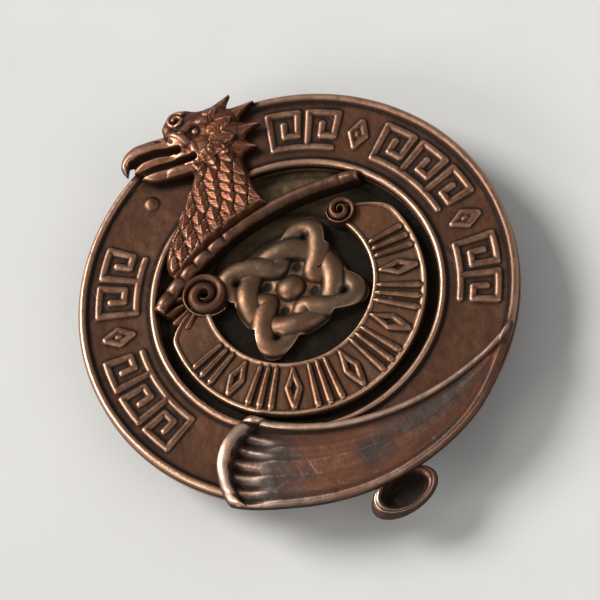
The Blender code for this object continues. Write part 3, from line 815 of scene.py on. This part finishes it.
def make_knot():
    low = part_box("centre_knot")[0].z
    count, rings = 460, 96
    angle = full_turn(count)
    edge = np.maximum(knot_lobe(angle) + 0.052 + 0.008 * np.cos(8 * angle), 0.240)
    share = np.linspace(0.02, 1, rings)[None, :]
    x, y = share * edge * np.cos(angle), share * edge * np.sin(angle)
    z = knot_height(x, y)
    x, y = x * KNOT_STRETCH * R, (INNER_Y + y) * R
    z = low + MM * np.maximum(z, 0.08) + 0.04 * MM * unevenness(x, y, 61)
    return solid_from_top("knot_relief", np.stack([x, y, z], -1), low, wrap=True)


def knot_painted_shade(x, y):
    # Painted shade over the knot's low parts, between and inside the cords.
    return 0.95 * ease(0.36, 0.10, knot_height(x / KNOT_STRETCH, y - INNER_Y))


def make_bar():
    """The arched perch: a round bar with knobbed ends, beaded along its left part."""
    low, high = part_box("perch_bar")
    along, across = 320, 28
    s = np.linspace(-1, 1, along)[:, None]
    t = np.linspace(-1, 1, across)[None, :]
    half = 0.031 * (1 - 0.15 * ease(0.85, 1.0, np.abs(s))) * (1 + 0.10 * ease(-0.12, -0.22, s))
    radius = BAR_R + half * t
    angle = np.radians(90 - s * BAR_HALF_SPAN)
    x, y = radius * np.cos(angle), BAR_CENTRE_Y + radius * np.sin(angle)
    rise = 0.95 * ridge(t, 1.02) + 0.12 * bump(np.abs(s) - 0.93, 0.04)
    rise = rise - 0.08 * bump(np.abs(s) - 0.84, 0.02)
    beads = np.abs(np.sin(np.pi * (s + 0.98) / 0.155)) ** 0.6
    beaded = ease(-0.12, -0.22, s) * ease(-1.0, -0.95, s)
    rise = rise * (1 - beaded * 0.34 * (1 - beads)) + 0.10 * beaded * beads * ridge(t, 1.02)
    ends = rounded(1 - np.abs(s), 0.03)
    z = high.z - MM * 1.0 + MM * rise * np.maximum(ends, 0.1)
    z = z + 0.04 * MM * unevenness(x * R, y * R, 71)
    return solid_from_top("bar_relief", np.stack([x * R, y * R, z], -1), low.z + 0.02 * MM)


# Eagle

EAGLE_OUTLINE = [
    (-0.298, 1.000),
    (-0.298, 1.052),
    (-0.256, 1.096),
    (-0.195, 1.108),
    (-0.125, 1.090),
    (-0.062, 1.070),
    (-0.040, 1.110),
    (0.020, 1.142),
    (0.085, 1.128),
    (0.130, 1.088),
    (0.190, 1.062),
    (0.300, 1.060),
    (0.252, 1.008),
    (0.372, 0.962),
    (0.262, 0.925),
    (0.332, 0.848),
    (0.240, 0.838),
    (0.258, 0.758),
    (0.182, 0.762),
    (0.158, 0.680),
    (0.138, 0.580),
    (0.140, 0.452),
    (-0.020, 0.456),
    (-0.200, 0.442),
    (-0.395, 0.396),
    (-0.405, 0.440),
    (-0.370, 0.512),
    (-0.290, 0.598),
    (-0.195, 0.686),
    (-0.110, 0.762),
    (-0.050, 0.818),
    (-0.090, 0.838),
    (-0.155, 0.868),
    (-0.215, 0.900),
    (-0.252, 0.948),
    (-0.232, 0.966),
    (-0.262, 0.998),
    (-0.246, 1.022),
    (-0.264, 1.034),
    (-0.276, 1.024),
]
EAGLE_CORNERS = (0, 11, 13, 15, 17, 21, 24, 34, 36)

UPPER_BEAK = [
    (-0.292, 1.012),
    (-0.284, 1.044),
    (-0.245, 1.070),
    (-0.195, 1.074),
    (-0.120, 1.052),
    (-0.05, 1.020),
    (0.0, 0.980),
]
TONGUE = [(-0.245, 0.997), (-0.185, 0.990), (-0.120, 0.968), (-0.040, 0.920)]
LOWER_BEAK = [(-0.235, 0.938), (-0.190, 0.912), (-0.120, 0.878), (-0.040, 0.840)]
MOUTH = [
    [(-0.246, 1.032), (-0.200, 1.030), (-0.130, 1.008), (-0.045, 0.955)],
    [(-0.250, 0.968), (-0.180, 0.948), (-0.100, 0.915), (-0.005, 0.880)],
]


def sunk(y):
    """The head is set lower than its outline is drawn; the neck's foot stays on the bar."""
    return y - HEAD_DROP * ease(0.45, 0.80, y)


def mouth_gap(x, y):
    gap = np.minimum(stroke_distance(x, y, MOUTH[0]), stroke_distance(x, y, MOUTH[1]))
    return 1 - ease(0.009, 0.021, gap)


def leaf(x, y, at, degrees, length, width):
    """A pointed feather's own coordinates: along it from -1 to 1 at its tip, and across it."""
    a = math.radians(degrees)
    u = ((x - at[0]) * math.cos(a) + (y - at[1]) * math.sin(a)) / length
    v = (-(x - at[0]) * math.sin(a) + (y - at[1]) * math.cos(a)) / width
    taper = np.sqrt(np.clip(1 - np.clip(u, -1, 1) ** 2, 0, 1)) * (1 - 0.30 * np.clip(u, -1, 1))
    inside = (np.abs(u) < 1) & (np.abs(v) < np.maximum(taper, 1e-3))
    return u, v / np.maximum(taper, 1e-3), inside


def feather(u, v):
    """One feather's height: domed across, higher towards its tip, with a quill and barbs."""
    vane = (0.18 + 0.42 * (u + 1) / 2) * np.sqrt(np.clip(1 - v**2, 0, 1))
    barbs = np.cos(TAU * (3.2 * u + 1.3 * np.abs(v)))
    return vane + 0.05 * bump(v, 0.14) + 0.022 * barbs * (1 - bump(v, 0.2))


def neck_feathers(x, y):
    """Rows of feathers that fan down from the head; each row lies over the one below it."""
    layer = np.zeros(x.shape)
    apex = (0.105, 1.13)
    for row in reversed(range(10)):
        reach = 0.320 + 0.054 * row
        fan = 44 + 0.6 * row
        count = max(3, round(reach * math.radians(fan) / 0.066))
        for i in range(count + 1):
            degrees = 228 + fan * (i - 0.5 * (row % 2)) / count
            a = math.radians(degrees)
            at = (apex[0] + reach * math.cos(a), apex[1] + reach * math.sin(a))
            u, v, inside = leaf(x, y, at, degrees, 0.066, 0.62 * 0.066)
            layer = np.where(inside, np.maximum(feather(u, v), 0.05), layer)
    return layer


NAPE = [  # place, direction and half length of each feather of the nape and the cheek
    ((0.225, 1.042), 8, 0.085),
    ((0.275, 0.972), -6, 0.105),
    ((0.250, 0.880), -20, 0.090),
    ((0.195, 0.800), -34, 0.078),
    ((0.150, 1.010), 14, 0.060),
    ((0.175, 0.940), 2, 0.065),
    ((0.150, 0.880), -28, 0.058),
    ((0.108, 0.838), -58, 0.052),
    ((0.050, 0.826), -92, 0.050),
    ((-0.004, 0.836), -124, 0.042),
]


def eagle_relief(x, y):
    outline = smooth_loop(EAGLE_OUTLINE, EAGLE_CORNERS, 5)
    rim = stroke_distance(x, y, [*outline, outline[0]])
    z = 0.45 + 0.62 * (1 - np.exp(-rim / 0.030))
    z += 0.62 * ridge(np.hypot((x - 0.085) / 0.17, (y - 0.950) / 0.135), 1.0)
    z += 0.22 * ridge(np.hypot((x - CHEEK[0]) / 0.052, (y - CHEEK[1]) / 0.062), 1.0)
    z += 0.45 * ridge(np.hypot((x + 0.02) / 0.24, (y - 0.60) / 0.34), 1.0)
    below = ease(0.845, 0.800, y) * ease(0.0, 0.020, rim)
    z += 0.95 * neck_feathers(x, y) * below
    beak = 1 - ease(-0.04, 0.03, x)
    z += 0.60 * ridge(stroke_distance(x, y, UPPER_BEAK), 0.040) * (1 - ease(-0.02, 0.05, x))
    z += 0.16 * ridge(stroke_distance(x, y, TONGUE), 0.020) * beak
    z += 0.42 * ridge(stroke_distance(x, y, LOWER_BEAK), 0.032) * beak
    z -= 0.20 * bump(stroke_distance(x, y, [(-0.060, 1.068), (-0.048, 1.000)]), 0.008)
    z -= 0.28 * bump(stroke_distance(x, y, [(-0.098, 1.052), (-0.084, 1.046)]), 0.008)
    cere = [(-0.030, 1.052), (0.002, 1.000), (0.020, 0.935), (0.012, 0.900)]
    z += 0.26 * ridge(stroke_distance(x, y, cere), 0.019)
    brow = [(0.020, 1.018), (0.070, 1.030), (0.130, 0.998)]
    z += 0.30 * ridge(stroke_distance(x, y, brow), 0.019)
    eye = np.hypot(x - EYE[0], y - EYE[1])
    z -= 0.42 * bump(eye, 0.027)
    z += 0.50 * ridge(eye, 0.0175)
    for at, degrees, length in NAPE:
        u, v, inside = leaf(x, y, at, degrees, length, 0.034)
        z += np.where(inside, 0.70 * feather(u, v), 0)
    turns = np.linspace(0.4, 2.7 * math.pi, 40)
    reach = 0.046 - 0.0038 * turns
    curl = list(zip(CURL[0] + reach * np.cos(turns), CURL[1] + reach * np.sin(turns)))
    z += 0.42 * ridge(stroke_distance(x, y, curl), 0.0125)
    z -= 0.20 * bump(np.hypot(x - CURL[0], y - CURL[1]), 0.018)
    z = z + (0.28 - z) * mouth_gap(x, y)
    z += 0.04 * unevenness(x * R, y * R, 81)
    soft_top, give = 1.9, 0.5
    z = np.where(z > soft_top, soft_top + give * np.tanh((z - soft_top) / give), z)
    edge = np.clip((rim + 0.003) / 0.014, 0, 1)
    return LAP_Z + MM * z * np.sqrt(1 - (1 - edge) ** 2 * 0.85)


def make_eagle():
    low, high = LAP_Z, LAP_Z + 2.0 * MM
    slab = slab_from_outline("eagle_slab", smooth_loop(EAGLE_OUTLINE, EAGLE_CORNERS, 6), low, high)
    eagle = remeshed(slab, "eagle_relief", 0.095 * MM)
    struck(eagle, low, high, eagle_relief)
    co = coordinates(eagle)
    co[:, 1] = sunk(co[:, 1] / R) * R
    set_coordinates(eagle, co)
    return eagle


def eagle_painted_light(x, y):
    """Painted shade in the mouth and round the eye; painted highlights on the beak's ridges and the
    cheek.
    """
    y = y + HEAD_DROP * ease(0.45, 0.76, y)
    socket = np.hypot(x - EYE[0], y - EYE[1])
    mouth_and_eye_shade = np.maximum(mouth_gap(x, y), 0.9 * bump(socket - 0.023, 0.007))
    upper, lower = stroke_distance(x, y, UPPER_BEAK), stroke_distance(x, y, LOWER_BEAK)
    cheek = np.hypot((x - CHEEK[0]) / 0.03, (y - CHEEK[1]) / 0.04)
    return mouth_and_eye_shade - 0.55 * bump(upper, 0.022) - 0.40 * bump(lower, 0.016) - 0.35 * bump(cheek, 1.0)


def bar_painted_highlight(x, y):
    # Painted highlight along the crest of the bar.
    return -0.30 * bump(np.hypot(x, y - BAR_CENTRE_Y) - BAR_R - 0.004, 0.020)


# Colours, as linear values

# Each dark colour below serves both the patina in the hollows and the painted shade; each bright
# colour both the worn metal and the painted highlights.
PATINA_AND_SHADE_DARK = (0.006, 0.003, 0.0015)
ring_metal = patina(
    "dark_bronze",
    body=(0.088, 0.037, 0.020),
    tint=(0.072, 0.034, 0.021),
    dark=PATINA_AND_SHADE_DARK,
    bright=(0.40, 0.235, 0.16),
    worn=0.85,
)
scroll_metal = patina(
    "scroll_bronze",
    body=(0.145, 0.062, 0.038),
    tint=(0.066, 0.048, 0.042),
    dark=PATINA_AND_SHADE_DARK,
    bright=(0.55, 0.37, 0.28),
)
field_metal = patina(
    "plate_bronze",
    body=(0.125, 0.080, 0.040),
    tint=(0.095, 0.066, 0.034),
    # Near black: patina, and chiefly the painted shade of the field's gaps and lower part.
    dark=(0.0018, 0.0009, 0.0005),
    bright=(0.11, 0.07, 0.04),
    worn=0.5,
    roughness=0.62,
)
ribbon_metal = patina(
    "ribbon_bronze",
    body=(0.122, 0.050, 0.025),
    tint=(0.092, 0.046, 0.027),
    dark=PATINA_AND_SHADE_DARK,
    bright=(0.42, 0.26, 0.17),
)
knot_metal = patina(
    "knot_bronze",
    body=(0.145, 0.072, 0.041),
    tint=(0.112, 0.072, 0.045),
    dark=(0.004, 0.002, 0.001),
    bright=(0.34, 0.23, 0.16),
)
eagle_metal = patina(
    "eagle_copper",
    body=(0.150, 0.054, 0.028),
    tint=(0.105, 0.037, 0.020),
    dark=(0.010, 0.0035, 0.0015),
    bright=(0.40, 0.23, 0.155),
    worn=0.80,
)
rivet_metal = plain_metal("rivet_copper", (0.42, 0.20, 0.12), (0.16, 0.07, 0.04), 0.42)
brass = plain_metal("fitting_brass", (0.60, 0.42, 0.19), (0.28, 0.17, 0.07), 0.36)
steel = plain_metal("pin_steel", (0.56, 0.55, 0.53), (0.34, 0.32, 0.29), 0.24, streaks=(0.05, 1, 1))

# What makes each front piece, its material and slot, the CAD node it replaces, its painted light
# and tone
fronts = [
    (make_ring, ring_metal, "dark_bronze", "strap_ring", ring_painted_light, None),
    (make_plate, field_metal, "plate_bronze", "back_plate", plate_painted_shade, None),
    (make_scroll, scroll_metal, "dark_bronze", "strap_scroll", scroll_painted_light, scroll_tone),
    (make_tip, scroll_metal, "dark_bronze", "strap_tip", tip_painted_light, None),
    (make_ribbon, ribbon_metal, "ribbon_bronze", "motto_ribbon", ribbon_painted_shade, None),
    (make_knot, knot_metal, "knot_bronze", "centre_knot", knot_painted_shade, None),
    (make_bar, ring_metal, "dark_bronze", "perch_bar", bar_painted_highlight, None),
    (make_eagle, eagle_metal, "eagle_copper", "eagle", eagle_painted_light, None),
]
for make, material, slot, node, painted_light, tone in fronts:
    piece = make()
    mark_wear_and_painted_light(piece, painted_light, tone)
    finish_piece(piece, "badge", slot, material, node)

# The rivets and the pin's fittings are the CAD solids themselves
for node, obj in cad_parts.items():
    kind = rivet_metal if "rivet" in node and node != "hinge_rivet" else brass
    if node == "brooch_pin":
        kind = steel
    obj.data.materials.clear()
    obj.data.materials.append(kind)


# Floor, light and camera

CAMERA_DISTANCE, VIEW_WIDTH = 0.75, 0.0735


def make_stage():
    """A plain pale floor under the fittings that the badge rests on."""
    bpy.ops.mesh.primitive_plane_add(size=8.0, location=(0, 0, FLOOR_Z))
    floor = bpy.context.object
    floor.name = "floor"
    tree = Tree("floor_paint")
    tree.shader.inputs["Roughness"].default_value = 0.75
    cloud = tree.remap(tree.noise(30, 3), 0.3, 0.7)
    paint = tree.mix(cloud, (0.36, 0.36, 0.357), (0.385, 0.385, 0.382))
    tree.link(paint, tree.shader.inputs["Base Color"])
    floor.data.materials.append(tree.material)


def soft_light(name, source, spread, strength, colour):
    """A far, soft studio light: as wide as spread degrees, seen from the badge towards source."""
    data = bpy.data.lights.new(name, "SUN")
    data.angle = math.radians(spread)
    data.energy = strength
    data.color = colour
    lamp = bpy.data.objects.new(name, data)
    lamp.rotation_euler = (-Vector(source)).to_track_quat("-Z", "Y").to_euler()
    bpy.context.scene.collection.objects.link(lamp)


def make_light():
    """A pale room and three soft lights, the strongest from the upper left of the view."""
    world = bpy.data.worlds.new("studio")
    world.use_nodes = True
    background = world.node_tree.nodes["Background"]
    background.inputs["Color"].default_value = (0.975, 0.96, 0.94, 1)
    background.inputs["Strength"].default_value = 0.55
    bpy.context.scene.world = world
    soft_light("key", (-0.30, 0.42, 0.46), 28, 5.0, (1.0, 0.98, 0.95))
    soft_light("side", (-0.50, -0.05, 0.30), 24, 1.5, (1.0, 0.96, 0.92))
    soft_light("fill", (0.25, -0.45, 0.55), 38, 0.6, (1.0, 0.98, 0.96))


def make_camera():
    """Well above the badge's face, past its foot and a little left, and rolled to the left."""
    tilt, roll = math.radians(63), math.radians(37)
    foot = Vector((-0.185, -0.982, 0)).normalized()
    out = foot * math.cos(tilt) + Vector((0, 0, math.sin(tilt)))
    target = Vector((0, -0.01 * R, 0.05 * R))
    data = bpy.data.cameras.new("camera")
    data.lens = data.sensor_width * CAMERA_DISTANCE / VIEW_WIDTH  # far off, so little perspective
    data.clip_start = 0.05
    camera = bpy.data.objects.new("camera", data)
    bpy.context.scene.collection.objects.link(camera)
    camera.location = target + out * CAMERA_DISTANCE
    turn = (-out).to_track_quat("-Z", "Y")
    up = turn.inverted() @ Vector((0, 1, 0))
    lean = math.atan2(up.y, up.x) - math.radians(90) - roll
    camera.rotation_euler = (turn @ Matrix.Rotation(lean, 3, "Z").to_quaternion()).to_euler()
    bpy.context.scene.camera = camera


make_stage()
make_light()
make_camera()
bpy.context.scene.view_settings.view_transform = "Standard"
